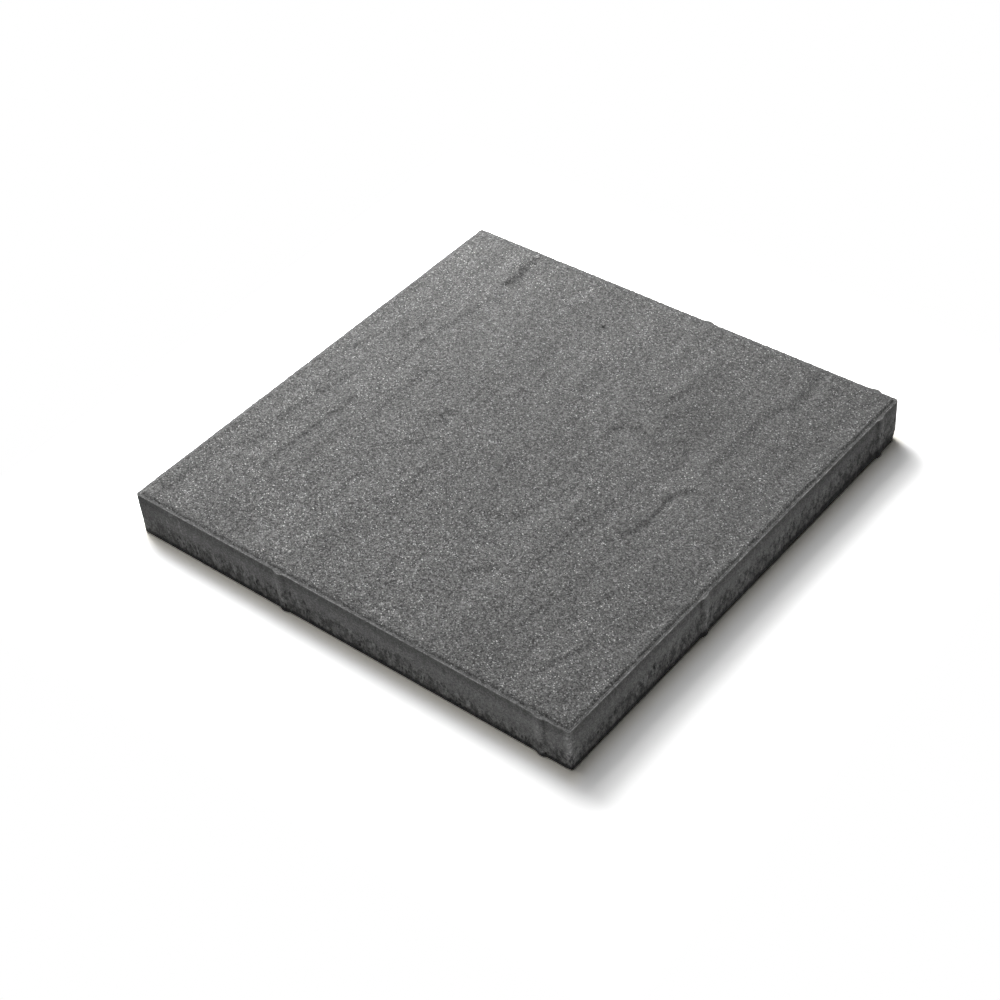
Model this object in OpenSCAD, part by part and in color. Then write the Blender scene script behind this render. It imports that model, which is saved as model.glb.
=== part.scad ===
// Cast concrete paving slab with a riven wearing face,
// a bevelled and stepped edge, and spacer nibs down its sides.
// The bed lies on Z = 0 with the origin at its centre. Sizes are in millimetres.

/* [Slab] */
// Width of the cast body, along X
slab_w = 400; // [200:1:600]
// Length of the cast body, along Y
slab_l = 400; // [200:1:600]
// Thickness, from the bed to the top of the room for the face's relief
slab_h = 40; // [25:1:80]
// Radius of the four upright corners
corner_r = 2; // [0.5:0.5:8]

/* [Face edge] */
// Depth of the ledge below the edge of the wearing face
ledge_drop = 3; // [1:0.5:8]
// Width of the ledge, from the side to the foot of the bevel
ledge_w = 1.8; // [0.5:0.1:6]
// Run of the bevel, from the ledge up to the wearing face
bevel_w = 1.6; // [0.5:0.1:8]

/* [Riven face] */
// Room for the relief above the edge of the wearing face
face_rise = 1; // [0.5:0.1:4]
// Strength of the creases, where 1 gives each its listed drop
crease_gain = 1; // [0:0.1:1.5]
// Distance over which a crease eases back into the face on both sides
crease_tail = 22; // [10:1:60]
// Share of a crease's line, at each end, over which its drop grows
crease_end = 0.2; // [0.05:0.05:0.5]
// Share of a crease's drop that stands above the face as its crest
crease_crest = 0.25; // [0:0.05:0.5]
// Height of the long swells, from middle to crest
swell = 0.3; // [0:0.05:0.6]
// Distance across the slab from crest to crest of the swells
swell_pitch = 74; // [40:1:200]
// Border over which the relief dies away to the straight edge
edge_fade = 8; // [3:0.5:30]
// Cells of the relief across the slab
cells_x = 110; // [20:2:130]
// Cells of the relief along the slab
cells_y = 36; // [10:2:48]

/* [Spacer nibs] */
// How far a nib stands out from its side
nib_proud = 1.5; // [1:0.5:4]
// Width of a nib at its root
nib_w = 9; // [6:0.5:20]
// From the far corner of the front and the right side to the outer nib
nib_end = 25; // [15:0.5:60]
// From the left corner of the front side to its inner nib
nib_front = 144; // [70:1:160]
// From the front corner of the right side to its inner nib
nib_right = 150; // [70:1:160]
// From the near corner of the back and the left side to the outer nib
nib_start = 19; // [15:0.5:60]
// From the near corner of the back and the left side to the inner nib
nib_back = 169; // [80:1:180]

/* [Hidden] */
$fn = 48;
// Height of the wearing face's edge and of the ledge above the bed
face_z = slab_h - face_rise;
ledge_z = face_z - ledge_drop;
// Half sizes of the wearing face inside its bevel
face_x = slab_w / 2 - ledge_w - bevel_w;
face_y = slab_l / 2 - ledge_w - bevel_w;
// How far the faced top is set into the body below the ledge
seat = 1;
// Radius of the round that gives a nib its width and its height
nib_r = (nib_w * nib_w / 4 + nib_proud * nib_proud) / (2 * nib_proud);
// Charcoal grey of the through-dyed concrete
charcoal = [0.37, 0.37, 0.36];
// Creases of the split layers, each with its drop, the run of its step, and its line from front to back
// in hundredths of the half face
CREASES = [
    [1.9, 4, [[58, -32], [61, -17], [64, -7], [64, 1], [63, 5], [64, 10], [66, 14], [70, 16], [76, 17]]],
    [0.7, 4, [[62, -52], [63, -41], [60, -32]]],
    [1.2, 8, [[67, 25], [65, 34], [66, 50], [67, 66], [72, 78]]],
    [2.1, 12, [[71, 70], [72, 80], [70, 89], [68, 103]]],
    [0.8, 6, [[86, 46], [85, 55], [81, 61], [77, 70]]],
    [1.4, 6, [[31, 47], [32, 56], [35, 66]]],
    [1.5, 6, [[23, 23], [25, 29], [32, 32], [39, 33]]],
    [1.1, 6, [[6, -44], [10, -38], [13, -36], [21, -34], [25, -30], [26, -22], [30, -11], [32, -5]]],
    [1.3, 5, [[24, -68], [27, -63], [29, -61], [33, -57], [38, -56]]],
    [1.3, 5, [[79, -58], [75, -50], [75, -44], [77, -37]]],
    [1.3, 5, [[75, -92], [78, -85], [80, -78], [83, -71], [84, -61]]],
    [0.9, 4, [[45, -55], [45, -37], [45, -24], [46, -15]]],
    [1.2, 4, [[59, -76], [59, -61]]],
    [3.1, 8, [[-68, 71], [-67, 79], [-67, 83], [-68, 91], [-66, 105]]],
    [1.4, 6, [[-70, -3], [-69, 9], [-70, 19], [-71, 30], [-69, 45], [-68, 61], [-68, 75]]],
    [1.7, 6, [[-71, -69], [-73, -52], [-72, -42], [-71, -27], [-71, -16], [-70, -9]]],
    [1.3, 6, [[-89, -63], [-86, -55], [-84, -49]]],
    [0.9, 5, [[-87, -44], [-86, -33], [-83, -28]]],
    [1.6, 5, [[-85, -22], [-83, -14], [-82, -4]]],
    [1.2, 6, [[-100, -62], [-98, -55], [-94, -47]]],
    [0.9, 6, [[-96, -95], [-93, -86], [-92, -75]]],
    [1.7, 5, [[-79, 20], [-79, 30], [-78, 43]]],
    [1.2, 6, [[-93, 3], [-91, 17], [-87, 28]]],
    [1.4, 6, [[-58, 0], [-57, 16]]],
    [2, 5, [[-34, -9], [-35, 2]]],
    [2, 5, [[-33, -23], [-32, -14]]],
];

// Keeps a value between 0 and 1
function held(v) = min(max(v, 0), 1);

// Eases from 0 to 1 as the value goes from 0 to 1
function ease(v) = held(v) * held(v) * (3 - 2 * held(v));

// Distance from a point to one stretch of a line, the share of the stretch passed there, and the side of it
function beside(p, a, b) =
    let (way = b - a, t = held((p - a) * way / (way * way)))
    [norm(p - a - t * way), t, cross(way, p - a)];

// Distance from a point to a whole line, positive on its right, and the share of the line passed there
function nearest(p, line) =
    let (
        hits = [for (k = [1 : len(line) - 1]) beside(p, line[k - 1], line[k])],
        least = min([for (hit = hits) hit[0]]),
        k = [for (k = [0 : len(hits) - 1]) if (hits[k][0] == least) k][0]
    )
    [hits[k][2] > 0 ? -least : least, (k + hits[k][1]) / len(hits)];

// Height that one crease adds at a point: a crest on the left of its line and a foot on the right
function crease_height(p, drop, run, line) =
    let (
        near = nearest(p, line),
        grown = ease(near[1] / crease_end) * ease((1 - near[1]) / crease_end),
        step = crease_crest - ease(near[0] / run + 0.5)
    )
    crease_gain * drop * grown * step * (1 - ease(abs(near[0]) / crease_tail));

// Height of the long swells at a point, which wander a little as they run from front to back
function swell_height(x, y) =
    let (wave = 360 / swell_pitch)
    swell * (sin(wave * (x + 9 * sin(y)) + 46) + 0.6 * sin(1.73 * wave * (x - 7 * sin(1.5 * y + 57)) + 120));

// A line's places on the face, in millimetres
function on_face(line) = [for (p = line) [p[0] * face_x, p[1] * face_y] / 100];

// Height of the relief at a point of the face, held inside its room and above the ledge
function relief(x, y, lines) =
    let (
        inside = min(face_x - abs(x), face_y - abs(y)),
        steps = [for (k = [0 : len(lines) - 1]) crease_height([x, y], CREASES[k][0], CREASES[k][1], lines[k])],
        total = swell_height(x, y) + steps * [for (step = steps) 1]
    )
    max(min(total * ease(inside / edge_fade), face_rise), -ledge_drop);

// Outline of the slab seen from above, with its corners rounded
module plan() {
    square([slab_w - 2 * corner_r, slab_l], center = true);
    square([slab_w, slab_l - 2 * corner_r], center = true);
    for (x = [-1, 1], y = [-1, 1])
        translate([x * (slab_w / 2 - corner_r), y * (slab_l / 2 - corner_r)])
            circle(corner_r);
}

// Body from the bed up to the ledge
module cast_body() {
    linear_extrude(ledge_z)
        plan();
}

// Top above the ledge: a skirt set into the body, the bevel and the riven face
module riven_top() {
    lines = [for (crease = CREASES) on_face(crease[2])];
    foot_x = face_x + bevel_w;
    foot_y = face_y + bevel_w;
    row = cells_x + 1;
    grid = [
        for (j = [0 : cells_y], i = [0 : cells_x])
            let (x = face_x * (2 * i / cells_x - 1), y = face_y * (2 * j / cells_y - 1))
            [x, y, face_z + relief(x, y, lines)]
    ];
    rings = [
        for (z = [ledge_z - seat, ledge_z], c = [[-1, -1], [1, -1], [1, 1], [-1, 1]])
            [c[0] * foot_x, c[1] * foot_y, z]
    ];
    low = len(grid);
    foot = low + 4;
    skirt = [for (k = [0 : 3]) [low + k, foot + k, foot + (k + 1) % 4, low + (k + 1) % 4]];
    bevels = [
        concat([foot + 1, foot], [for (i = [0 : cells_x]) i]),
        concat([foot + 2, foot + 1], [for (j = [0 : cells_y]) j * row + cells_x]),
        concat([foot + 3, foot + 2], [for (i = [cells_x : -1 : 0]) cells_y * row + i]),
        concat([foot, foot + 3], [for (j = [cells_y : -1 : 0]) j * row]),
    ];
    face = [
        for (j = [0 : cells_y - 1], i = [0 : cells_x - 1], half = [0, 1])
            let (a = j * row + i)
            half == 0 ? [a, a + row, a + 1] : [a + 1, a + row, a + row + 1]
    ];
    polyhedron(concat(grid, rings), concat(skirt, bevels, face, [[low, low + 1, low + 2, low + 3]]));
}

// Upright nib on the side that faces -Y, at x along it, when that side is out at reach
module nib(x, reach) {
    translate([x, -reach, 0])
        linear_extrude(ledge_z)
            intersection() {
                translate([0, nib_r - nib_proud])
                    circle(nib_r);
                translate([-nib_w / 2, -nib_proud])
                    square([nib_w, nib_proud + seat]);
            }
}

// Nibs of one side of the given span, which lies at reach from the centre, at places from its near corner
module side_nibs(span, reach, places) {
    for (place = places)
        nib(place - span / 2, reach);
}

// Nibs of all four sides, anticlockwise from the front
module spacer_nibs() {
    side_nibs(slab_w, slab_l / 2, [nib_front, slab_w - nib_end]);
    rotate(90)
        side_nibs(slab_l, slab_w / 2, [nib_right, slab_l - nib_end]);
    rotate(180)
        side_nibs(slab_w, slab_l / 2, [nib_start, nib_back]);
    rotate(270)
        side_nibs(slab_l, slab_w / 2, [nib_start, nib_back]);
}

module slab() {
    color(charcoal) {
        cast_body();
        riven_top();
        spacer_nibs();
    }
}

slab();
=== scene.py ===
"""Dresses the cast paving slab: riven sandy face, stepped edge, drag-marked sides and a rough bed.

Sizes in the dataclasses are in millimetres unless a comment says otherwise. Blender's own units are metres.
"""

from __future__ import annotations

import logging
import math
from dataclasses import dataclass, field
from enum import Enum, IntEnum
from typing import Any, Iterable, Mapping, Sequence, Union

import bmesh
import bpy
from mathutils import Matrix, Vector, noise

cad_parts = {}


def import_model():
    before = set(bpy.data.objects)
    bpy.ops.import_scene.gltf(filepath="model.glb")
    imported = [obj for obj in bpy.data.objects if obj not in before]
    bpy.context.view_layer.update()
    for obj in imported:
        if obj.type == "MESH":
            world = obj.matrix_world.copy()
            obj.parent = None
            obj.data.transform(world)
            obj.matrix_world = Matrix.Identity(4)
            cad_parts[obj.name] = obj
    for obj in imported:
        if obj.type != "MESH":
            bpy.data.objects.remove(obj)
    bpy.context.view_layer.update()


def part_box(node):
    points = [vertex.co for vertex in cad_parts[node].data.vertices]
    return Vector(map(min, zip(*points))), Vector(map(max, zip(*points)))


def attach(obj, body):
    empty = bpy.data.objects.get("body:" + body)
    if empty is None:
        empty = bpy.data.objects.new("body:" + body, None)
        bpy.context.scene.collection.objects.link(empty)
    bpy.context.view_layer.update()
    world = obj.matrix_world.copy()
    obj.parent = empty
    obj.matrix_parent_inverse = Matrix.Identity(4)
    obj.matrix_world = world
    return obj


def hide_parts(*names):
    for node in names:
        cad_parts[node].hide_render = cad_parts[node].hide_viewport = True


LOG = logging.getLogger("paving_slab")
MM = 0.001
# Mean of the square of a random number, and the least share of its tone that a finish keeps
MEAN_SQUARE = 0.33
DARKEST = 0.1
Colour = tuple[float, float, float, float]
Operand = Union["Term", float]
Layer = bmesh.types.BMLayerItem


class Zone(IntEnum):
    """Zones of the cast surface, in the order of the slab's material slots."""

    FACE = 0
    BEVEL = 1
    LEDGE = 2
    SIDE = 3
    BED = 4


class Term:
    """One output socket that takes part in shader maths."""

    def __init__(self, bench: Bench, socket: bpy.types.NodeSocket) -> None:
        """Keeps the socket and the bench that it belongs to."""
        self.bench = bench
        self.socket = socket

    def output(self, name: str) -> Term:
        """Gives another output of the same node."""
        return Term(self.bench, self.socket.node.outputs[name])

    def maths(self, operation: str, first: Operand, second: Operand) -> Term:
        """Adds one Math node.

        Args:
            operation: Name of the Math node's operation.
            first: Left operand.
            second: Right operand.

        Returns:
            The result of the operation.
        """
        return self.bench.add("ShaderNodeMath", {"operation": operation}, {0: first, 1: second})

    def __add__(self, other: Operand) -> Term:
        """Adds a value."""
        return self.maths("ADD", self, other)

    def __radd__(self, other: Operand) -> Term:
        """Adds to a value."""
        return self.maths("ADD", other, self)

    def __sub__(self, other: Operand) -> Term:
        """Takes a value away."""
        return self.maths("SUBTRACT", self, other)

    def __rsub__(self, other: Operand) -> Term:
        """Is taken away from a value."""
        return self.maths("SUBTRACT", other, self)

    def __mul__(self, other: Operand) -> Term:
        """Multiplies by a value."""
        return self.maths("MULTIPLY", self, other)

    def __rmul__(self, other: Operand) -> Term:
        """Multiplies a value."""
        return self.maths("MULTIPLY", other, self)

    def __pow__(self, other: Operand) -> Term:
        """Raises to a power."""
        return self.maths("POWER", self, other)

    def at_most(self, other: Operand) -> Term:
        """Takes the lower of two values."""
        return self.maths("MINIMUM", self, other)

    def at_least(self, other: Operand) -> Term:
        """Takes the higher of two values."""
        return self.maths("MAXIMUM", self, other)

    def rise(self, start: float, end: float) -> Term:
        """Eases from 0 to 1 between two values.

        Args:
            start: Value at which the result is 0.
            end: Value at which the result is 1. It may lie below start.

        Returns:
            The eased value.
        """
        low, high, flip = (start, end, False) if start < end else (end, start, True)
        settings = {"interpolation_type": "SMOOTHSTEP"}
        sockets = {"Value": self, "From Min": low, "From Max": high}
        eased = self.bench.add("ShaderNodeMapRange", settings, sockets)
        return 1.0 - eased if flip else eased


class Bench:
    """Adds and links the nodes of one material or world."""

    def __init__(self, owner: bpy.types.ID) -> None:
        """Clears the owner's nodes and starts a new tree.

        Args:
            owner: The material or world to build.
        """
        owner.use_nodes = True
        self.tree = owner.node_tree
        self.tree.nodes.clear()

    def add(
        self,
        kind: str,
        settings: Mapping[str, Any] | None = None,
        sockets: Mapping[str | int, Any] | None = None,
    ) -> Term:
        """Adds one node.

        Args:
            kind: The node's type.
            settings: Attributes of the node, set before its sockets.
            sockets: Values or links of its input sockets, by name or number.

        Returns:
            The node's first output, or None in a Term for a node that has none.
        """
        node = self.tree.nodes.new(kind)
        for name, value in (settings or {}).items():
            setattr(node, name, value)
        for key, value in (sockets or {}).items():
            if isinstance(value, Term):
                self.tree.links.new(value.socket, node.inputs[key])
            else:
                node.inputs[key].default_value = value
        return Term(self, node.outputs[0] if node.outputs else None)

    def place(
        self,
        scale: Sequence[float] = (1.0, 1.0, 1.0),
        shift: Sequence[float] = (0.0, 0.0, 0.0),
    ) -> Term:
        """Gives the object's own coordinates, stretched and shifted.

        Args:
            scale: Factor along each axis.
            shift: Shift along each axis, in metres.

        Returns:
            The place as a vector.
        """
        here = self.add("ShaderNodeTexCoord").output("Object")
        return self.add("ShaderNodeMapping", None, {"Vector": here, "Scale": scale, "Location": shift})

    def noise(self, place: Term, pitch: float, detail: float = 2.0, rough: float = 0.5) -> Term:
        """Adds a noise pattern.

        Args:
            place: Coordinates to read the pattern at.
            pitch: Size of its largest features, in millimetres.
            detail: Number of finer layers.
            rough: Strength of each finer layer.

        Returns:
            The pattern's value, about 0 to 1.
        """
        sockets = {"Vector": place, "Scale": 1.0 / (pitch * MM), "Detail": detail, "Roughness": rough}
        return self.add("ShaderNodeTexNoise", None, sockets)

    def cells(self, place: Term, pitch: float) -> tuple[Term, Term]:
        """Adds a pattern of round cells.

        Args:
            place: Coordinates to read the pattern at.
            pitch: Size of a cell, in millimetres.

        Returns:
            The distance from a cell's centre, in cells, and a random number for each cell.
        """
        cell = self.add("ShaderNodeTexVoronoi", None, {"Vector": place, "Scale": 1.0 / (pitch * MM)})
        parts = self.add("ShaderNodeSeparateColor", None, {"Color": cell.output("Color")})
        return cell.output("Distance"), parts.output("Red")

    def up(self) -> Term:
        """Gives the height above the bed, in millimetres."""
        here = self.add("ShaderNodeTexCoord").output("Object")
        return self.add("ShaderNodeSeparateXYZ", None, {"Vector": here}).output("Z") * (1.0 / MM)

    def layer(self, name: str) -> Term:
        """Gives a value that the mesh keeps for each of its points.

        Args:
            name: Name of the mesh's layer.

        Returns:
            The value.
        """
        return self.add("ShaderNodeAttribute", {"attribute_name": name}).output("Fac")

    def nearness(self, centre: Sequence[float], radius: float) -> Term:
        """Tells how near a place is: 1 at the centre, easing to 0 at the radius.

        Args:
            centre: The centre, in millimetres.
            radius: The radius, in millimetres.

        Returns:
            The nearness.
        """
        here = self.add("ShaderNodeTexCoord").output("Object")
        spot = tuple(value * MM for value in centre)
        away = self.add("ShaderNodeVectorMath", {"operation": "DISTANCE"}, {0: here, 1: spot}).output("Value")
        return away.rise(radius * MM, 0.0)

    def blend(self, share: Term, first: Colour, second: Colour) -> Term:
        """Mixes two colours.

        Args:
            share: Share of the second colour, from 0 to 1.
            first: The first colour.
            second: The second colour.

        Returns:
            The mixed colour.
        """
        settings = {"data_type": "RGBA"}
        mixed = self.add("ShaderNodeMix", settings, {"Factor": share, 6: first, 7: second}).socket.node
        return Term(self, next(socket for socket in mixed.outputs if socket.enabled))

    def tint(self, colour: Term | Colour, level: Term) -> Term:
        """Multiplies a colour by a level.

        Args:
            colour: The colour.
            level: Brightness, where 1 keeps the colour.

        Returns:
            The colour at that brightness.
        """
        grey = self.add("ShaderNodeCombineXYZ", None, {"X": level, "Y": level, "Z": level})
        sockets = {0: colour if isinstance(colour, Term) else colour[:3], 1: grey}
        return self.add("ShaderNodeVectorMath", {"operation": "MULTIPLY"}, sockets)


@dataclass(frozen=True)
class Patch:
    """A round patch of the surface, strongest at its centre."""

    centre: tuple[float, float, float]
    radius: float

    def near(self, bench: Bench) -> Term:
        """Tells how near a place is to the patch's centre, from 0 at its rim to 1."""
        return bench.nearness(self.centre, self.radius)


@dataclass(frozen=True)
class CastFinish:
    """Dyed concrete as it leaves the mould. Each zone of the slab is one of these, with its own marks."""

    name: str
    # Mean colour of the surface
    tone: Colour = (0.18, 0.18, 0.178, 1.0)
    # Strength of the salt and pepper of the sand
    grain: float = 1.0
    # Share of the grains that are pale quartz
    quartz: float = 0.07
    # Depth of the grain's relief
    relief: float = 0.4
    rough: float = 0.9
    gloss: float = 0.25
    # Sizes of the coarse and the fine grains, and how much their shades differ
    coarse: float = 1.4
    fine: float = 0.8
    coarse_shade: float = 0.7
    fine_shade: float = 1.4
    # Brightness of a pale quartz grain, with its glint painted into the colour, what a rich patch adds to it,
    # and the size of such patches
    glint: float = 1.8
    rich_glint: float = 3.0
    rich_pitch: float = 24.0
    # Darkness of the gaps between coarse grains, and a lift that makes up for them
    gap_shade: float = 0.15
    lift: float = 0.04

    def grains(self, bench: Bench) -> tuple[Term, Term]:
        """Builds the sand: a level to multiply the tone by, and a height for the relief.

        Args:
            bench: Bench of the material.

        Returns:
            The level, about 1, and the height, 0 to 1.
        """
        place = bench.place()
        reach, luck = bench.cells(place, self.coarse)
        fine_reach, fine_luck = bench.cells(place, self.fine)
        sand = (luck**2.0 - MEAN_SQUARE) * self.coarse_shade
        sand = sand + (fine_luck**2.0 - MEAN_SQUARE) * self.fine_shade
        rich = bench.noise(bench.place((1.0, 0.5, 1.0)), self.rich_pitch, 2.0).rise(0.35, 0.68)
        chosen = fine_luck.rise(1.0 - self.quartz, 1.0) if self.quartz else 0.0
        # Pale quartz grains, painted brighter still to stand in for their glints
        pale = fine_reach.rise(0.7, 0.3) * (self.glint + rich * self.rich_glint) * chosen
        gaps = reach.rise(0.4, 0.8) * self.gap_shade
        level = 1.0 + (sand + pale - gaps + self.lift) * self.grain
        height = 1.0 - reach * 0.8 - fine_reach * 0.35 + luck * 0.5
        return level, height

    def marks(self, bench: Bench) -> tuple[Operand, Operand]:
        """Gives the zone's own marks: a level to multiply by, and a height to add. Plain here."""
        return 1.0, 0.0

    def material(self) -> bpy.types.Material:
        """Builds the finish.

        Returns:
            The material.
        """
        made = bpy.data.materials.new(self.name)
        bench = Bench(made)
        level, height = self.grains(bench)
        mark_level, mark_height = self.marks(bench)
        lift = {"Strength": 1.0, "Distance": self.relief * MM, "Height": height + mark_height}
        sockets = {
            "Base Color": bench.tint(self.tone, (level * mark_level).at_least(DARKEST)),
            "Roughness": self.rough,
            "Specular IOR Level": self.gloss,
            "Normal": bench.add("ShaderNodeBump", None, lift),
        }
        shader = bench.add("ShaderNodeBsdfPrincipled", None, sockets)
        bench.add("ShaderNodeOutputMaterial", None, {"Surface": shader})
        return made


@dataclass(frozen=True)
class SandyFinish(CastFinish):
    """Wearing face: sandy, clouded in long streaks, with painted sheen that makes it paler towards its back
    left corner.
    """

    # Painted sheen: extra brightness towards the back left corner, standing in for the lamps' sheen there
    painted_sheen: float = 0.14
    painted_sheen_at: Patch = Patch((-200.0, 200.0, 40.0), 260.0)
    # Shade of the smooth patch on the right
    smooth: float = 0.1
    smooth_at: Patch = Patch((94.0, 80.0, 40.0), 75.0)
    # Strength of the broad clouds and of the narrow streaks
    clouds: float = 0.25
    streaks: float = 0.7
    # Extra strength of the grain and of its painted glints near the front side
    crisp: float = 0.2
    crisp_at: Patch = Patch((-20.0, -200.0, 40.0), 330.0)
    # Strength of the grain farthest from there
    far_grain: float = 0.95
    # Darkness of the painted shade in the pits
    pit_painted_shade: float = 0.75

    def grains(self, bench: Bench) -> tuple[Term, Term]:
        """Builds the sand, which is crispest near the middle of the front side.

        Args:
            bench: Bench of the material.

        Returns:
            The level, about 1, and the height, 0 to 1.
        """
        level, height = super().grains(bench)
        strength = self.far_grain + self.crisp_at.near(bench) * self.crisp
        return 1.0 + (level - 1.0) * strength, height

    def marks(self, bench: Bench) -> tuple[Operand, Operand]:
        """Builds the clouding.

        Args:
            bench: Bench of the material.

        Returns:
            The level to multiply by, and the height to add.
        """
        cloud = bench.noise(bench.place((1.0, 0.45, 1.0)), 55.0, 3.0, 0.55) - 0.5
        streak = bench.noise(bench.place((1.0, 0.14, 1.0), (0.02, 0.0, 0.0)), 9.0, 3.0, 0.6) - 0.5
        # Pits painted darker as shade
        pits = 1.0 - bench.layer("painted_shade") * self.pit_painted_shade
        level = 1.0 + cloud * self.clouds + streak * self.streaks
        # Painted sheen towards the back left corner, less the darker smooth patch
        level = level + self.painted_sheen_at.near(bench) * self.painted_sheen - self.smooth_at.near(bench) * self.smooth
        return level * pits, 0.0


@dataclass(frozen=True)
class DraggedFinish(CastFinish):
    """Side of the slab: smooth above, torn and pitted below where the mould dragged, with painted shade under
    the ledge and along its foot.
    """

    # Heights between which the smooth upper band gives way to the torn lower part
    smooth_above: float = 21.0
    torn_below: float = 17.0
    # Heights between which the painted shade along the foot starts
    foot_above: float = 5.0
    foot_below: float = 2.6
    # Heights between which the shade under the ledge dies away, and the brightness that it leaves
    shade_below: float = 34.5
    shade_above: float = 24.0
    shaded: float = 0.62
    # How far the torn line wavers, climbs towards the right end and dips on the front
    waver: float = 20.0
    climb: float = 6.0
    climb_at: Patch = Patch((200.0, 200.0, 20.0), 420.0)
    dip: float = 6.0
    dip_at: Patch = Patch((140.0, -200.0, 20.0), 110.0)
    # Painted light on the sides, paler towards the front's right end and along the right side's middle; and
    # the front's left end, which is darker
    painted_light_front: Patch = Patch((200.0, -200.0, 20.0), 330.0)
    painted_light_right: Patch = Patch((200.0, 20.0, 20.0), 280.0)
    left_end: Patch = Patch((-200.0, -200.0, 20.0), 45.0)
    # Pale scuffs near the two ends of the front
    left_scuff: Patch = Patch((-170.0, -200.0, 14.0), 34.0)
    right_scuff: Patch = Patch((165.0, -200.0, 16.0), 44.0)
    scuff_level: float = 0.35
    # Darkness of the painted shade in the holes, along the foot and in the hollows, and extra brightness of
    # places that are worn pale or painted lit
    hole_shade: float = 0.65
    foot_shade: float = 0.7
    painted_shade_strength: float = 0.7
    wear_and_light_gain: float = 1.3

    def rubbed(self, bench: Bench) -> Term:
        """Builds the pale scuffs, thickest near the two ends of the front side.

        Args:
            bench: Bench of the material.

        Returns:
            How pale a place is rubbed, from 0 to 1.
        """
        scratch = bench.noise(bench.place((1.0, 1.0, 0.3), (0.0, 0.0, 0.3)), 3.0, 3.0, 0.6)
        spread = bench.noise(bench.place(), 34.0, 1.0).rise(0.5, 0.62) * 0.6
        spread = spread + self.left_scuff.near(bench) + self.right_scuff.near(bench) * 0.7
        return scratch.rise(0.56, 0.68) * spread.at_most(1.0)

    def marks(self, bench: Bench) -> tuple[Operand, Operand]:
        """Builds the drag marks.

        Args:
            bench: Bench of the material.

        Returns:
            The level to multiply by, and the height to add.
        """
        up = bench.up()
        fringe = bench.noise(bench.place((1.0, 1.0, 0.1)), 3.4, 3.0, 0.6) - 0.5
        climb = self.climb_at.near(bench) * self.climb
        dip = self.dip_at.near(bench) * self.dip
        torn = (up - climb + dip + fringe * self.waver).rise(self.smooth_above, self.torn_below)
        patch = bench.noise(bench.place((1.0, 1.0, 0.6)), 4.2, 4.0, 0.75)
        pits, luck = bench.cells(bench.place((1.0, 1.0, 0.6)), 2.8)
        holes = pits.rise(0.5, 0.25) * luck.rise(0.8, 0.84) * torn
        # Painted shade along the foot, where the slab meets the floor
        foot = ((up + fringe * 4.0) * (1.0 - climb * 0.09)).rise(self.foot_above, self.foot_below)
        shade = self.shaded + up.rise(self.shade_below, self.shade_above) * (1.0 - self.shaded)
        # Painted light that evens out how the lamps and the floor light the front and the right side, then
        # the darker left end of the front
        shade = shade * (0.8 + self.painted_light_front.near(bench) * 0.3)
        shade = shade * (0.94 + self.painted_light_right.near(bench) * 0.36)
        shade = shade * (1.0 - self.left_end.near(bench) * 0.5)
        blotch = patch.rise(0.56, 0.4) * 0.6 - patch.rise(0.52, 0.66) * 0.35
        level = shade * (1.0 - torn * blotch + torn * 0.1 - fringe * 0.4)
        # Holes painted darker as shade, then the pale scuffs
        level = level * (1.0 - holes * self.hole_shade) + self.rubbed(bench) * self.scuff_level
        level = level * (1.0 - foot * self.foot_shade)
        # Painted shade of the hollows, the nibs' shadow lines and the back and left sides
        level = level * (1.0 - bench.layer("painted_shade") * self.painted_shade_strength)
        # Paler where worn and where light is painted on the nibs' lit flanks
        level = level * (1.0 + bench.layer("wear_and_painted_light") * self.wear_and_light_gain)
        return level, torn * (patch - 0.5) * 4.0 - holes * 3.0


@dataclass(frozen=True)
class WornAndLitEdgeFinish(CastFinish):
    """Stepped edge: plain, or a little darker in its groove as painted shade, and paler where it is rubbed
    and where light is painted on.
    """

    # Brightness of a plain place, a little darker as painted shade in the ledge's groove, and of the palest
    # place, against the tone
    groove_level: float = 0.95
    lip_level: float = 2.5

    def marks(self, bench: Bench) -> tuple[Operand, Operand]:
        """Builds the paler places, partly wear and partly painted light.

        Args:
            bench: Bench of the material.

        Returns:
            The level to multiply by, and the height to add.
        """
        return self.groove_level + bench.layer("wear_and_painted_light") * (self.lip_level - self.groove_level), 0.0


def ease(value: float) -> float:
    """Eases from 0 to 1 as the value goes from 0 to 1."""
    held = min(max(value, 0.0), 1.0)
    return held * held * (3.0 - 2.0 * held)


@dataclass(frozen=True)
class Crease:
    """Edge of a split layer: a crest on the left of its line and a foot on the right."""

    drop: float
    run: float
    # Line from front to back, in hundredths of the half face
    line: tuple[tuple[float, float], ...]

    def beside(self, x: float, y: float, margin: float) -> tuple[float, float] | None:
        """Measures a point's place beside the line.

        Args:
            x: Place across the face, in hundredths of its half.
            y: Place along the face, in hundredths of its half.
            margin: Distance from the line beyond which nothing is measured.

        Returns:
            The distance from the line, positive on its right, and the share of the line passed there.
        """
        if not self.line[0][1] - margin < y < self.line[-1][1] + margin:
            return None
        least, sign, passed = margin, 0.0, 0.0
        for number, ((ax, ay), (bx, by)) in enumerate(zip(self.line, self.line[1:])):
            way_x, way_y = bx - ax, by - ay
            along = ((x - ax) * way_x + (y - ay) * way_y) / (way_x**2 + way_y**2)
            along = min(max(along, 0.0), 1.0)
            away = math.hypot(x - ax - along * way_x, y - ay - along * way_y)
            if away < least:
                turn = way_x * (y - ay) - way_y * (x - ax)
                least, sign, passed = away, -1.0 if turn > 0.0 else 1.0, number + along
        return (sign * least, passed / (len(self.line) - 1)) if sign else None


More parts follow.
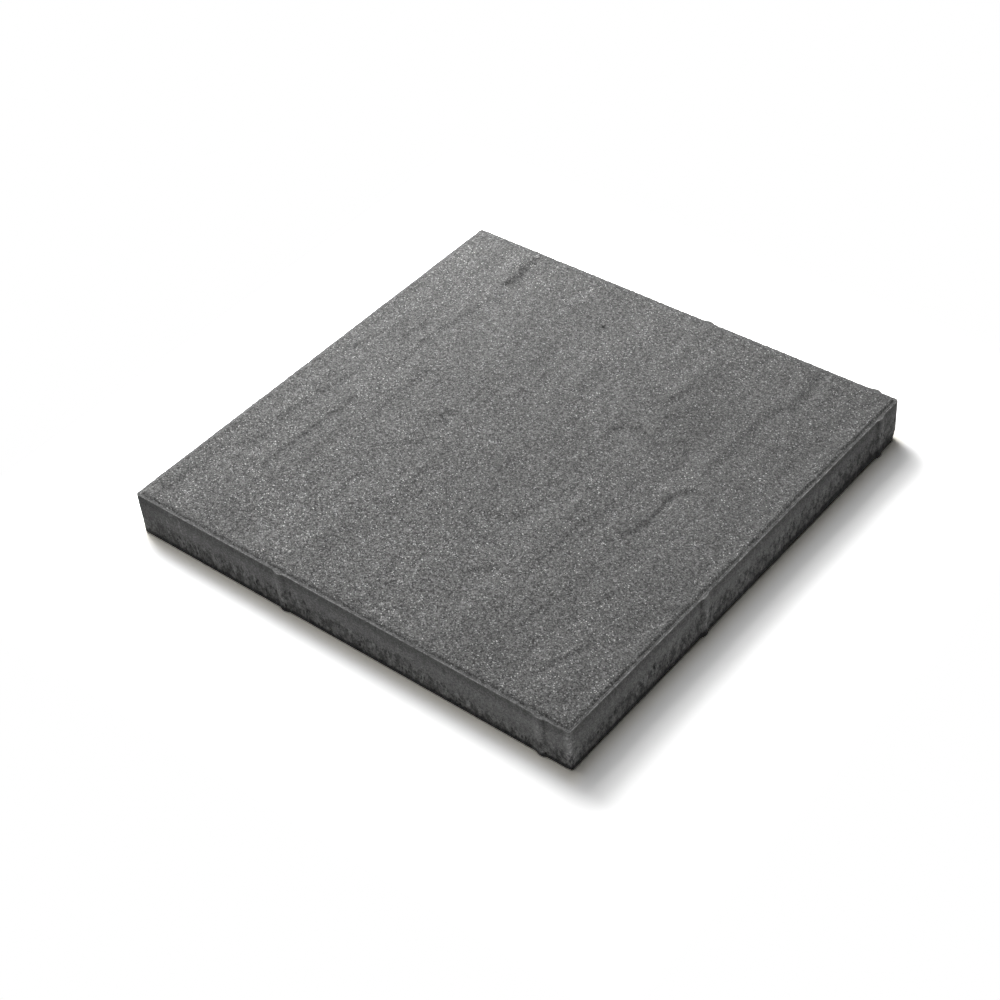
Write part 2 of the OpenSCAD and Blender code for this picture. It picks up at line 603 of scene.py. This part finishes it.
@dataclass(frozen=True)
class RivenFace:
    """Relief of the wearing face: long swells along Y, the creases of its split layers, and fine streaks."""

    rise: float = 1.0
    deepest: float = 3.0
    crease_tail: float = 22.0
    # Share of a crease's line, at each end, over which its drop grows
    crease_end: float = 0.2
    # Share of a crease's drop that stands above the face as its crest
    crest: float = 0.25
    edge_fade: float = 8.0
    swell: float = 0.3
    swell_pitch: float = 74.0
    # Height of the fine streaks and of the grain
    streak: float = 0.3
    grain: float = 0.05
    # Creases as in the solid, five of the short ones worn softer
    creases: tuple[Crease, ...] = (
        Crease(
            1.9, 4, ((58, -32), (61, -17), (64, -7), (64, 1), (63, 5), (64, 10), (66, 14), (70, 16), (76, 17))
        ),
        Crease(0.7, 4, ((62, -52), (63, -41), (60, -32))),
        Crease(1.2, 8, ((67, 25), (65, 34), (66, 50), (67, 66), (72, 78))),
        Crease(2.1, 12, ((71, 70), (72, 80), (70, 89), (68, 103))),
        Crease(0.8, 6, ((86, 46), (85, 55), (81, 61), (77, 70))),
        Crease(1.4, 6, ((31, 47), (32, 56), (35, 66))),
        Crease(1.5, 6, ((23, 23), (25, 29), (32, 32), (39, 33))),
        Crease(
            1.1, 6, ((6, -44), (10, -38), (13, -36), (21, -34), (25, -30), (26, -22), (30, -11), (32, -5))
        ),
        Crease(1.3, 5, ((24, -68), (27, -63), (29, -61), (33, -57), (38, -56))),
        Crease(1.3, 5, ((79, -58), (75, -50), (75, -44), (77, -37))),
        Crease(1.3, 5, ((75, -92), (78, -85), (80, -78), (83, -71), (84, -61))),
        Crease(0.9, 4, ((45, -55), (45, -37), (45, -24), (46, -15))),
        Crease(0.9, 4, ((59, -76), (59, -61))),
        Crease(3.1, 8, ((-68, 71), (-67, 79), (-67, 83), (-68, 91), (-66, 105))),
        Crease(1.4, 6, ((-70, -3), (-69, 9), (-70, 19), (-71, 30), (-69, 45), (-68, 61), (-68, 75))),
        Crease(1.7, 6, ((-71, -69), (-73, -52), (-72, -42), (-71, -27), (-71, -16), (-70, -9))),
        Crease(1.3, 6, ((-89, -63), (-86, -55), (-84, -49))),
        Crease(0.9, 5, ((-87, -44), (-86, -33), (-83, -28))),
        Crease(1.3, 5, ((-85, -22), (-83, -14), (-82, -4))),
        Crease(1.2, 6, ((-100, -62), (-98, -55), (-94, -47))),
        Crease(0.9, 6, ((-96, -95), (-93, -86), (-92, -75))),
        Crease(1.1, 5, ((-79, 20), (-79, 30), (-78, 43))),
        Crease(1.2, 6, ((-93, 3), (-91, 17), (-87, 28))),
        Crease(1.4, 6, ((-58, 0), (-57, 16))),
        Crease(1.6, 7, ((-34, -9), (-35, 2))),
        Crease(1.4, 5, ((-33, -23), (-32, -14))),
    )

    def swells(self, x: float, y: float) -> float:
        """Works out the long swells at one point, which wander a little as they run from front to back.

        Args:
            x: Place across the face.
            y: Place along the face.

        Returns:
            Height of the swells, in millimetres.
        """
        wave = 2.0 * math.pi / self.swell_pitch
        sway = x + 9.0 * math.sin(math.radians(y))
        cross_sway = x - 7.0 * math.sin(math.radians(1.5 * y + 57.0))
        crests = math.sin(wave * sway + math.radians(46.0))
        return self.swell * (crests + 0.6 * math.sin(1.73 * wave * cross_sway + math.radians(120.0)))

    def crease_step(self, crease: Crease, x: float, y: float, half: float) -> float:
        """Works out what one crease adds to the relief.

        Args:
            crease: The crease.
            x: Place across the face.
            y: Place along the face.
            half: Half the face's width.

        Returns:
            Height added, in millimetres.
        """
        unit = half / 100.0
        found = crease.beside(x / unit, y / unit, self.crease_tail / unit)
        if found is None:
            return 0.0
        away, passed = found[0] * unit, found[1]
        grown = ease(passed / self.crease_end) * ease((1.0 - passed) / self.crease_end)
        step = self.crest - ease(away / crease.run + 0.5)
        return crease.drop * grown * step * (1.0 - ease(abs(away) / self.crease_tail))

    def height(self, x: float, y: float, half: float) -> float:
        """Works out the relief at one point of the face.

        Args:
            x: Place across the face.
            y: Place along the face.
            half: Half the face's width.

        Returns:
            Height above the face's edge, in millimetres.
        """
        level = self.swells(x, y) + sum(self.crease_step(crease, x, y, half) for crease in self.creases)
        lean = x - 0.12 * y
        level += self.streak * noise.fractal(Vector((lean / 9.0, y / 48.0, 3.0)), 0.8, 2.0, 3)
        level += self.grain * noise.fractal(Vector((x / 3.6, y / 4.4, 9.0)), 0.7, 2.0, 2)
        fade = ease(min(half - abs(x), half - abs(y)) / self.edge_fade)
        return max(min(level * fade, self.rise), -self.deepest)


class Side(Enum):
    """The slab's four sides, each with its outward normal."""

    FRONT = (0.0, -1.0)
    RIGHT = (1.0, 0.0)
    BACK = (0.0, 1.0)
    LEFT = (-1.0, 0.0)

    @classmethod
    def facing(cls, x: float, y: float) -> Side:
        """Finds the side that a point on the rim belongs to."""
        return max(cls, key=lambda side: x * side.value[0] + y * side.value[1])

    def along(self, x: float, y: float) -> float:
        """Measures a point's place along the side, anticlockwise from its middle."""
        return y * self.value[0] - x * self.value[1]


@dataclass(frozen=True)
class SpacerNibs:
    """Upright ribs on the sides that keep the joints open."""

    proud: float = 1.5
    width: float = 9.0
    # Gaps from the corners, as in the solid
    end_gap: float = 25.0
    front_gap: float = 144.0
    right_gap: float = 150.0
    start_gap: float = 19.0
    back_gap: float = 169.0

    def places(self, side: Side, half: float) -> tuple[float, float]:
        """Gives the middles of a side's two nibs.

        Args:
            side: The side.
            half: Half its length.

        Returns:
            The nibs' places along the side, from its middle.
        """
        if side is Side.FRONT:
            return self.front_gap - half, half - self.end_gap
        if side is Side.RIGHT:
            return self.right_gap - half, half - self.end_gap
        return self.start_gap - half, self.back_gap - half

    def stand(self, side: Side, along: float, half: float) -> float:
        """Works out how far a side stands out.

        Args:
            side: The side.
            along: Place along it, from its middle.
            half: Half its length.

        Returns:
            Distance out from the side.
        """
        radius = (self.width**2 / 4.0 + self.proud**2) / (2.0 * self.proud)
        for middle in self.places(side, half):
            off = abs(along - middle)
            if off < self.width / 2.0:
                return math.sqrt(radius**2 - off**2) - (radius - self.proud)
        return 0.0

    def flank_light_and_shade(self, side: Side, along: float, half: float) -> tuple[float, float]:
        """Works out the painted light on a nib's lit flank and the painted shadow along its other flank.

        Args:
            side: The side.
            along: Place along it, from its middle.
            half: Half its length.

        Returns:
            How much painted light and how much painted shadow the place gets, from 0 to 1.
        """
        lee = 1.0 if side is Side.FRONT else -1.0
        off = min((along - middle for middle in self.places(side, half)), key=abs) * lee
        reach = self.width / 2.0
        return ease(1.2 - abs(off + 0.3 * reach) / reach), ease(1.0 - abs(off - reach) / 2.2)


@dataclass(frozen=True)
class Pit:
    """A hollow left by an air bubble or a lost grain."""

    place: tuple[float, float, float]
    radius: float
    depth: float
    # How much taller than wide it is
    stretch: float = 1.0

    def share(self, place: Vector) -> float:
        """Tells how much of the pit a point has.

        Args:
            place: The point.

        Returns:
            1 in the pit's middle, 0 outside it.
        """
        x, y, z = self.place
        away = Vector((place.x - x, place.y - y, (place.z - z) / self.stretch)).length
        return ease(1.4 - away / self.radius)


@dataclass(frozen=True)
class CastSides:
    """Relief of the sides: smooth above, torn and pitted below, with a ragged lip round the ledge."""

    smooth_above: float = 23.0
    torn_below: float = 15.0
    skin: float = 0.08
    tear: float = 0.6
    lip: float = 0.6
    pits: tuple[Pit, ...] = (
        Pit((-48.0, -200.0, 20.0), 1.3, 1.2, 2.2),
        Pit((-35.0, -200.0, 19.0), 1.5, 1.2, 1.8),
        Pit((-34.0, -200.0, 12.0), 1.4, 1.0, 1.5),
        Pit((-81.0, -200.0, 15.0), 1.4, 1.0),
        Pit((-68.0, -200.0, 16.0), 1.2, 0.9),
        Pit((-63.0, -200.0, 14.0), 1.4, 1.0),
        Pit((-2.0, -200.0, 15.0), 1.2, 0.9, 1.6),
        Pit((18.0, -200.0, 11.0), 1.3, 0.9),
        Pit((32.0, -200.0, 12.0), 1.2, 0.8),
        Pit((72.0, -200.0, 9.0), 1.3, 0.9, 1.6),
        Pit((95.0, -200.0, 29.0), 1.0, 0.7, 2.4),
        Pit((198.5, -198.5, 13.0), 1.5, 1.2),
        Pit((198.5, -198.5, 9.5), 1.3, 1.0),
        Pit((200.0, -152.0, 14.0), 1.3, 0.9, 1.6),
        Pit((200.0, -108.0, 19.0), 1.4, 0.9, 2.0),
        Pit((200.0, 56.0, 10.0), 1.2, 0.8),
    )

    def torn(self, place: Vector) -> float:
        """Tells how torn the side is at a point, from 0 to 1."""
        waver = 8.0 * noise.noise(Vector((place.x / 21.0, place.y / 21.0, 2.5)))
        return ease((self.smooth_above - place.z + waver) / (self.smooth_above - self.torn_below))

    def hollow(self, place: Vector) -> tuple[float, float]:
        """Works out the side's relief at a point.

        Args:
            place: The point on the plain side.

        Returns:
            Depth below the plain side, and how much painted shade the hollow gets, from 0 to 1.
        """
        drag = noise.fractal(Vector((place.x / 4.2, place.y / 4.2, place.z / 13.0)), 0.8, 2.0, 3)
        depth = self.skin * (1.0 + noise.noise(place / 7.0))
        depth += self.torn(place) * self.tear * max(0.0, 0.35 - drag)
        pit = max(self.pits, key=lambda one: one.share(place))
        share = pit.share(place)
        return depth + share * pit.depth, share


@dataclass(frozen=True)
class Ring:
    """One ring of the slab's section, from the face outwards and down."""

    reach: float
    z: float
    zone: Zone
    # Share of the way across its zone, from 0 to 1
    way: float


@dataclass
class PavingSlab:
    """The cast slab, made as one mesh from its face outwards and down to its bed."""

    low: Vector
    high: Vector
    face: RivenFace = field(default_factory=RivenFace)
    nibs: SpacerNibs = field(default_factory=SpacerNibs)
    sides: CastSides = field(default_factory=CastSides)
    ledge_drop: float = 3.0
    ledge_w: float = 1.8
    bevel_w: float = 1.6
    corner_r: float = 2.0
    # Burr that fills the ledge, and how much farther in the worn bevel starts
    ledge_fill: float = 0.9
    bevel_wear: float = 1.3
    # How round the worn bevel is, where 1 is a plain slope
    bevel_round: float = 1.65
    # Worn lower edge: its height and its depth
    arris: tuple[float, float] = (0.6, 0.15)
    # How much painted light pales the front's and the right side's edges, which lie in shade
    edge_painted_light: Mapping[Side, float] = field(default_factory=lambda: {Side.FRONT: 0.3, Side.RIGHT: 1.0})
    # How much painted shade darkens the other sides' skin, the back and the left, which the lamps light more
    side_painted_shade: Mapping[Side, float] = field(default_factory=lambda: {Side.BACK: 0.3, Side.LEFT: 0.4})
    # Height over which the tops of the left side's nibs are worn away
    left_wear: float = 5.0
    # Depth and height of the piece broken from the lower right corner
    chip: tuple[float, float] = (5.0, 11.0)
    # Width of the worn strip down the front corner, and of the border where a side's hollows fade
    front_wear: float = 7.0
    calm: float = 5.0
    # Sizes of the crumbs and of the slow wander of the edge
    crumb: float = 2.6
    wander: float = 19.0
    face_pits: tuple[Pit, ...] = (
        Pit((-34.0, 148.0, 39.0), 1.9, 0.9),
        Pit((71.0, 85.0, 39.0), 1.5, 0.7),
        Pit((97.0, 70.0, 39.0), 1.4, 0.6),
    )
    # Quads along one side of the face, and rows of quads down a bevel, a ledge and a side
    face_quads: int = 250
    bevel_rows: int = 5
    ledge_rows: int = 3
    side_rows: int = 20
    # Height of the narrow row of a side just under the lip
    lip_row: float = 0.4

    def __post_init__(self) -> None:
        """Works out the slab's own sizes from its CAD box, in millimetres."""
        self.half = self.high.x / MM - self.nibs.proud
        self.face_half = self.half - self.ledge_w - self.bevel_w
        self.rim_half = self.face_half - self.bevel_wear
        self.top = self.high.z / MM
        self.face_z = self.top - self.face.rise
        self.ledge_z = self.face_z - self.ledge_drop

    def section(self) -> list[Ring]:
        """Lists the rings of the section.

        Returns:
            The rings, from the edge of the face to the bed.
        """
        rings = []
        ledge_z = self.ledge_z + self.ledge_fill
        for row in range(1, self.bevel_rows + 1):
            way = row / self.bevel_rows
            reach = self.rim_half + (self.bevel_w + self.bevel_wear) * way
            z = self.face_z + (ledge_z - self.face_z) * way**self.bevel_round
            rings.append(Ring(reach, z, Zone.BEVEL, way))
        for row in range(1, self.ledge_rows + 1):
            way = row / self.ledge_rows
            reach = self.half - self.ledge_w * (1.0 - way)
            z = ledge_z - self.ledge_fill * 0.6 * way**2
            rings.append(Ring(reach, z, Zone.LEDGE, way))
        side_top = self.ledge_z - self.lip_row
        for row in range(self.side_rows + 1):
            way = row / self.side_rows
            rings.append(Ring(self.half, side_top + (self.arris[0] - side_top) * way, Zone.SIDE, way))
        rings.append(Ring(self.half - self.arris[1], 0.0, Zone.SIDE, 1.0))
        return rings

    def grow(
        self,
        mesh: bmesh.types.BMesh,
        edges: list[bmesh.types.BMEdge],
        ring: Ring,
    ) -> tuple[list[bmesh.types.BMEdge], list[bmesh.types.BMVert]]:
        """Extrudes the open rim of the mesh to the next ring.

        Args:
            mesh: The slab so far.
            edges: Edges of the open rim.
            ring: The ring to grow to.

        Returns:
            The edges and the corners of the new rim.
        """
        made = bmesh.ops.extrude_edge_only(mesh, edges=edges)["geom"]
        verts = [part for part in made if isinstance(part, bmesh.types.BMVert)]
        last = max(abs(verts[0].co.x), abs(verts[0].co.y))
        bmesh.ops.scale(mesh, vec=(ring.reach / last, ring.reach / last, 1.0), verts=verts)
        bmesh.ops.translate(mesh, vec=(0.0, 0.0, ring.z - verts[0].co.z), verts=verts)
        fresh = set(verts)
        rim = []
        for part in made:
            if isinstance(part, bmesh.types.BMFace):
                part.material_index = ring.zone
            elif isinstance(part, bmesh.types.BMEdge) and fresh.issuperset(part.verts):
                rim.append(part)
        return rim, verts

    def outward(self, x: float, y: float, reach: float) -> tuple[Vector, Vector]:
        """Rounds a point of a square ring at the slab's upright corners.

        Args:
            x: Place of the point.
            y: Place of the point.
            reach: Half the width of the ring.

        Returns:
            The rounded place and the way outwards there, both without height.
        """
        inner = reach - self.corner_r
        past = Vector((max(abs(x) - inner, 0.0), max(abs(y) - inner, 0.0), 0.0))
        if past.x and past.y:
            signs = Vector((math.copysign(1.0, x), math.copysign(1.0, y), 0.0))
            out = Vector((past.x * signs.x, past.y * signs.y, 0.0)).normalized()
            return signs * inner + out * self.corner_r, out
        return Vector((x, y, 0.0)), Vector((*Side.facing(x, y).value, 0.0))

    def shape_face(self, verts: Iterable[bmesh.types.BMVert], painted_shade: Layer) -> None:
        """Raises the riven relief on the face and sinks its pits.

        Args:
            verts: The corners of the face's grid.
            painted_shade: Layer of painted shade, here the shade in the face's pits.
        """
        for vert in verts:
            share = max(pit.share(vert.co) * pit.depth for pit in self.face_pits)
            lift = self.face.height(vert.co.x, vert.co.y, self.face_half) - share
            vert.co.z = min(vert.co.z + lift, self.top)
            # Painted shade in the pits
            vert[painted_shade] = min(1.0, share * 1.4)

    def shape_edge(self, ring: Ring, vert: bmesh.types.BMVert, wear_and_painted_light: Layer) -> None:
        """Crumbles the bevel and raises the ragged lip of the ledge.

        Args:
            ring: The ring that the point is on.
            vert: The point.
            wear_and_painted_light: Layer that says how pale the point is, partly from wear and partly from
                painted light.
        """
        place = vert.co.copy()
        flat, out = self.outward(place.x, place.y, ring.reach)
        crumble = noise.fractal(place / self.crumb, 0.8, 2.0, 3)
        wander = noise.noise(place / self.wander)
        side = Side.facing(place.x, place.y)
        if ring.zone is Zone.BEVEL:
            flat += out * (0.3 * crumble + 0.2 * wander) * (1.0 - 0.5 * ring.way)
            vert.co = Vector((flat.x, flat.y, place.z + 0.2 * crumble))
            # Bevel painted paler on the front and right sides, as painted light
            vert[wear_and_painted_light] = self.edge_painted_light.get(side, 0.0)
            return
        stand = self.nibs.stand(side, side.along(place.x, place.y), self.half) * ring.way
        if side is Side.LEFT:
            stand = 0.0
        ragged = max(0.0, 0.55 + 0.8 * crumble + 0.4 * wander)
        flat += out * (stand + ring.way * min(0.0, 0.2 * crumble - 0.1))
        vert.co = Vector((flat.x, flat.y, place.z + self.sides.lip * ragged * ring.way**2))
        # Ledge lip pale where it is ragged, paler still on the front and right sides as painted light
        vert[wear_and_painted_light] = ring.way**3 * min(1.0, 0.1 + 1.2 * ragged) * (0.5 + 0.5 * self.edge_painted_light.get(side, 0.0))

    def shape_side(self, ring: Ring, vert: bmesh.types.BMVert, painted_shade: Layer, wear_and_painted_light: Layer) -> None:
        """Adds the nibs, the torn relief and the worn corners to a point of a side.

        Args:
            ring: The ring that the point is on.
            vert: The point.
            painted_shade: Layer of painted shade in the hollows, along the nibs' shadow lines and over the
                back and left sides.
            wear_and_painted_light: Layer that says how pale the point is, partly from wear and partly from
                painted light.
        """
        place = vert.co.copy()
        side = Side.facing(place.x, place.y)
        flat, out = self.outward(place.x, place.y, ring.reach)
        along = side.along(place.x, place.y)
        corner = 2.0 * self.half - abs(place.x) - abs(place.y)
        depth, dark = self.sides.hollow(place)
        depth *= ease(place.z / self.calm) * (0.3 + 0.7 * ease(corner / self.calm))
        stand = self.nibs.stand(side, along, self.half)
        if side is Side.LEFT:
            stand *= ease((self.ledge_z - place.z) / self.left_wear)
        broken = (Vector((self.half, self.half)) - place.xy).length / self.chip[0] + place.z / self.chip[1]
        depth += self.chip[0] * ease(1.25 - broken) * 0.8
        front = ease(1.0 - (Vector((self.half, -self.half)) - place.xy).length / self.front_wear)
        worn = front * max(0.0, 0.7 + 1.2 * noise.fractal(place / 2.4, 0.8, 2.0, 2))
        # Painted light on the nibs' lit flanks and painted shadow along their other flanks
        pale, shadow_seam = self.nibs.flank_light_and_shade(side, along, self.half)
        flat += out * (stand - depth - 0.4 * worn)
        vert.co = Vector((flat.x, flat.y, place.z))
        vert[wear_and_painted_light] = min(1.0, worn + 0.25 * pale)
        shadow_seam *= ease((place.z - 6.0) / 10.0)
        # Painted shade: hollows, the nibs' shadow lines, and the back and left sides
        vert[painted_shade] = min(1.0, dark + 0.5 * shadow_seam + self.side_painted_shade.get(side, 0.0))

    def build(self) -> bpy.types.Object:
        """Makes the slab's mesh.

        Returns:
            The slab, at the origin, in metres.
        """
        mesh = bmesh.new()
        # Layer of pale wear and painted light
        wear_and_painted_light = mesh.verts.layers.float.new("wear_and_painted_light")
        # Layer of painted shade
        painted_shade = mesh.verts.layers.float.new("painted_shade")
        quads = self.face_quads
        bmesh.ops.create_grid(mesh, x_segments=quads, y_segments=quads, size=self.rim_half)
        bmesh.ops.translate(mesh, vec=(0.0, 0.0, self.face_z), verts=mesh.verts)
        grid = list(mesh.verts)
        rim = [edge for edge in mesh.edges if edge.is_boundary]
        rings = []
        for ring in self.section():
            rim, verts = self.grow(mesh, rim, ring)
            rings.append((ring, verts))
        for face in bmesh.ops.contextual_create(mesh, geom=rim)["faces"]:
            face.material_index = Zone.BED
        self.shape_face(grid, painted_shade)
        for ring, verts in rings:
            for vert in verts:
                if ring.zone is Zone.SIDE:
                    self.shape_side(ring, vert, painted_shade, wear_and_painted_light)
                else:
                    self.shape_edge(ring, vert, wear_and_painted_light)
        return self.finish_mesh(mesh)

    @staticmethod
    def rank(face: bmesh.types.BMFace) -> int:
        """Gives a face's place in the mesh's order, from its lowest and highest corner."""
        numbers = [vert.index for vert in face.verts]
        return min(numbers) * 10**6 + max(numbers)

    def finish_mesh(self, mesh: bmesh.types.BMesh) -> bpy.types.Object:
        """Turns the faces outwards, sets their order and shading, and makes the object.

        Args:
            mesh: The slab in millimetres.

        Returns:
            The slab in metres.
        """
        bmesh.ops.recalc_face_normals(mesh, faces=mesh.faces)
        mesh.verts.index_update()
        mesh.faces.sort(key=self.rank)
        crisp = {frozenset((Zone.LEDGE, Zone.SIDE)), frozenset((Zone.SIDE, Zone.BED))}
        for face in mesh.faces:
            face.smooth = True
        for edge in mesh.edges:
            edge.smooth = frozenset(face.material_index for face in edge.link_faces) not in crisp
        bmesh.ops.scale(mesh, vec=(MM, MM, MM), verts=mesh.verts)
        data = bpy.data.meshes.new("paving_slab")
        mesh.to_mesh(data)
        mesh.free()
        slab = bpy.data.objects.new("paving_slab", data)
        bpy.context.scene.collection.objects.link(slab)
        return slab

    def dress(self, slab: bpy.types.Object) -> None:
        """Gives each zone its finish.

        Args:
            slab: The slab.
        """
        face_tone = (0.171, 0.171, 0.169, 1.0)
        # The sides' tone is paler than the face's: partly the smooth skin's own tone, partly painted light
        # for the front and right sides, which the lamps leave in shade
        side_tone = (0.293, 0.293, 0.29, 1.0)
        bed_tone = (0.26, 0.26, 0.257, 1.0)
        finishes = {
            Zone.FACE: SandyFinish("sandy_face", face_tone, grain=0.86, relief=0.2),
            # Bevel and ledge painted paler as light where they lie in shade, the ledge's lip partly by wear
            Zone.BEVEL: WornAndLitEdgeFinish("bevel_painted_light", grain=0.8, groove_level=1.0, lip_level=1.6),
            Zone.LEDGE: WornAndLitEdgeFinish("ledge_wear_and_painted_light", grain=0.5, quartz=0.0),
            Zone.SIDE: DraggedFinish("dragged_side", side_tone, grain=0.45, quartz=0.0, relief=0.15),
            Zone.BED: CastFinish("floated_bed", bed_tone, grain=0.5, quartz=0.0),
        }
        for zone in Zone:
            slab.data.materials.append(finishes[zone].material())


@dataclass(frozen=True)
class Lamp:
    """A soft box that hangs over the slab and shines at its middle."""

    name: str
    # Where it hangs, in metres
    place: tuple[float, float, float]
    # Its width and its height, in metres
    width: float
    depth: float
    # Light that a level surface at the slab's middle gets from it, as a share of plain daylight
    share: float

    def hang(self) -> None:
        """Makes the lamp."""
        data = bpy.data.lights.new(self.name, "AREA")
        data.shape = "RECTANGLE"
        data.size = self.width
        data.size_y = self.depth
        away = Vector(self.place)
        data.energy = self.share * math.pi**2 * away.length**3 / away.z
        lamp = bpy.data.objects.new(self.name, data)
        back = away.normalized()
        right = Vector((0.0, 1.0, 0.0)).cross(back).normalized()
        turn = Matrix((right, back.cross(right), back)).transposed()
        lamp.matrix_world = Matrix.Translation(away) @ turn.to_4x4()
        bpy.context.scene.collection.objects.link(lamp)


@dataclass(frozen=True)
class Studio:
    """White floor, soft light from above on the left, and the camera."""

    # Light from all round, as a share of plain daylight
    ambient: float = 0.02
    # How the floor looks to the camera, and how much light it gives back
    floor_seen: float = 2.33
    floor_albedo: float = 0.9
    # Floor's half width, and the distances from its middle at which its shading gives way to white, in metres
    floor_half: float = 6.0
    white_from: float = 0.25
    white_at: float = 0.34
    # Warm tint of the shadow close to the slab, and the distances from the floor's middle between
    # which it fades
    warm: Colour = (1.0, 0.965, 0.87, 1.0)
    warm_from: float = 0.198
    warm_to: float = 0.214
    # Gap that keeps the floor clear of the bed, in metres
    floor_gap: float = 0.0002
    lamps: tuple[Lamp, ...] = (
        Lamp("key_box", (-0.797, 0.341, 0.878), 0.53, 0.67, 0.356),
        Lamp("key_haze", (-0.739, 0.367, 0.805), 1.1, 0.95, 0.447),
        Lamp("top_box", (-0.173, -0.014, 1.1), 0.84, 0.82, 0.266),
    )
    # Camera: direction in degrees, then distance and slide across the view in millimetres
    azimuth: float = 42.66
    elevation: float = 42.06
    roll: float = -5.5
    distance: float = 1533.7
    slide_right: float = -15.39
    slide_up: float = -26.9
    aim_up: float = 20.0
    lens: float = 74.58

    def seen(self, bench: Bench) -> Term:
        """Tells if a ray comes from the camera, or from a mirror or a glass that it looks at."""
        path = bench.add("ShaderNodeLightPath")
        return path.at_least(path.output("Is Glossy Ray")).at_least(path.output("Is Transmission Ray"))

    def floor_finish(self) -> bpy.types.Material:
        """Builds the floor's finish: shaded near the slab, plain white farther off.

        Returns:
            The material.
        """
        made = bpy.data.materials.new("white_floor")
        bench = Bench(made)
        seen = self.seen(bench)
        here = bench.add("ShaderNodeTexCoord").output("Object")
        spread = bench.add("ShaderNodeVectorMath", {"operation": "ABSOLUTE"}, {0: here})
        parts = bench.add("ShaderNodeSeparateXYZ", None, {"Vector": spread})
        away = parts.output("X").at_least(parts.output("Y"))
        level = self.floor_albedo + seen * (self.floor_seen - self.floor_albedo)
        tone = bench.blend(away.rise(self.warm_to, self.warm_from), (1.0, 1.0, 1.0, 1.0), self.warm)
        matt = bench.add("ShaderNodeBsdfDiffuse", None, {"Color": bench.tint(tone, level)})
        white = bench.add("ShaderNodeEmission", None, {"Strength": 1.0})
        far = away.rise(self.white_from, self.white_at) * seen
        shader = bench.add("ShaderNodeMixShader", None, {0: far, 1: matt, 2: white})
        bench.add("ShaderNodeOutputMaterial", None, {"Surface": shader})
        return made

    def lay_floor(self) -> None:
        """Makes the floor."""
        mesh = bmesh.new()
        bmesh.ops.create_grid(mesh, x_segments=1, y_segments=1, size=self.floor_half)
        bmesh.ops.translate(mesh, vec=(0.0, 0.0, -self.floor_gap), verts=mesh.verts)
        data = bpy.data.meshes.new("studio_floor")
        mesh.to_mesh(data)
        mesh.free()
        floor = bpy.data.objects.new("studio_floor", data)
        bpy.context.scene.collection.objects.link(floor)
        data.materials.append(self.floor_finish())

    def light(self) -> None:
        """Sets the light from all round and hangs the lamps."""
        world = bpy.data.worlds.new("white_room")
        bench = Bench(world)
        strength = self.ambient + self.seen(bench) * (1.0 - self.ambient)
        glow = bench.add("ShaderNodeBackground", None, {"Color": (1.0, 1.0, 1.0, 1.0), "Strength": strength})
        bench.add("ShaderNodeOutputWorld", None, {"Surface": glow})
        bpy.context.scene.world = world
        for lamp in self.lamps:
            lamp.hang()
        bpy.context.scene.view_settings.view_transform = "Standard"

    def set_camera(self) -> None:
        """Places the camera."""
        turn, tilt, roll = (math.radians(angle) for angle in (self.azimuth, self.elevation, self.roll))
        back = Vector((math.sin(turn) * math.cos(tilt), -math.cos(turn) * math.cos(tilt), math.sin(tilt)))
        level = Vector((0.0, 0.0, 1.0)).cross(back).normalized()
        upright = back.cross(level)
        right = level * math.cos(roll) + upright * math.sin(roll)
        up = upright * math.cos(roll) - level * math.sin(roll)
        place = Vector((0.0, 0.0, self.aim_up)) + back * self.distance
        place += right * self.slide_right + up * self.slide_up
        data = bpy.data.cameras.new("photo_camera")
        data.lens = self.lens
        camera = bpy.data.objects.new("photo_camera", data)
        camera.matrix_world = Matrix.Translation(place * MM) @ Matrix((right, up, back)).transposed().to_4x4()
        bpy.context.scene.collection.objects.link(camera)
        bpy.context.scene.camera = camera


def main() -> None:
    """Builds the slab and its studio, and reports what was made."""
    logging.basicConfig(level=logging.INFO, format="%(message)s")
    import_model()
    studio = Studio()
    studio.set_camera()
    studio.light()
    studio.lay_floor()
    design = PavingSlab(*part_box("slab"))
    slab = design.build()
    design.dress(slab)
    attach(slab, "root")
    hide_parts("slab")
    LOG.info("%s: %d triangles", slab.name, sum(len(face.vertices) - 2 for face in slab.data.polygons))


if __name__ == "__main__":
    main()
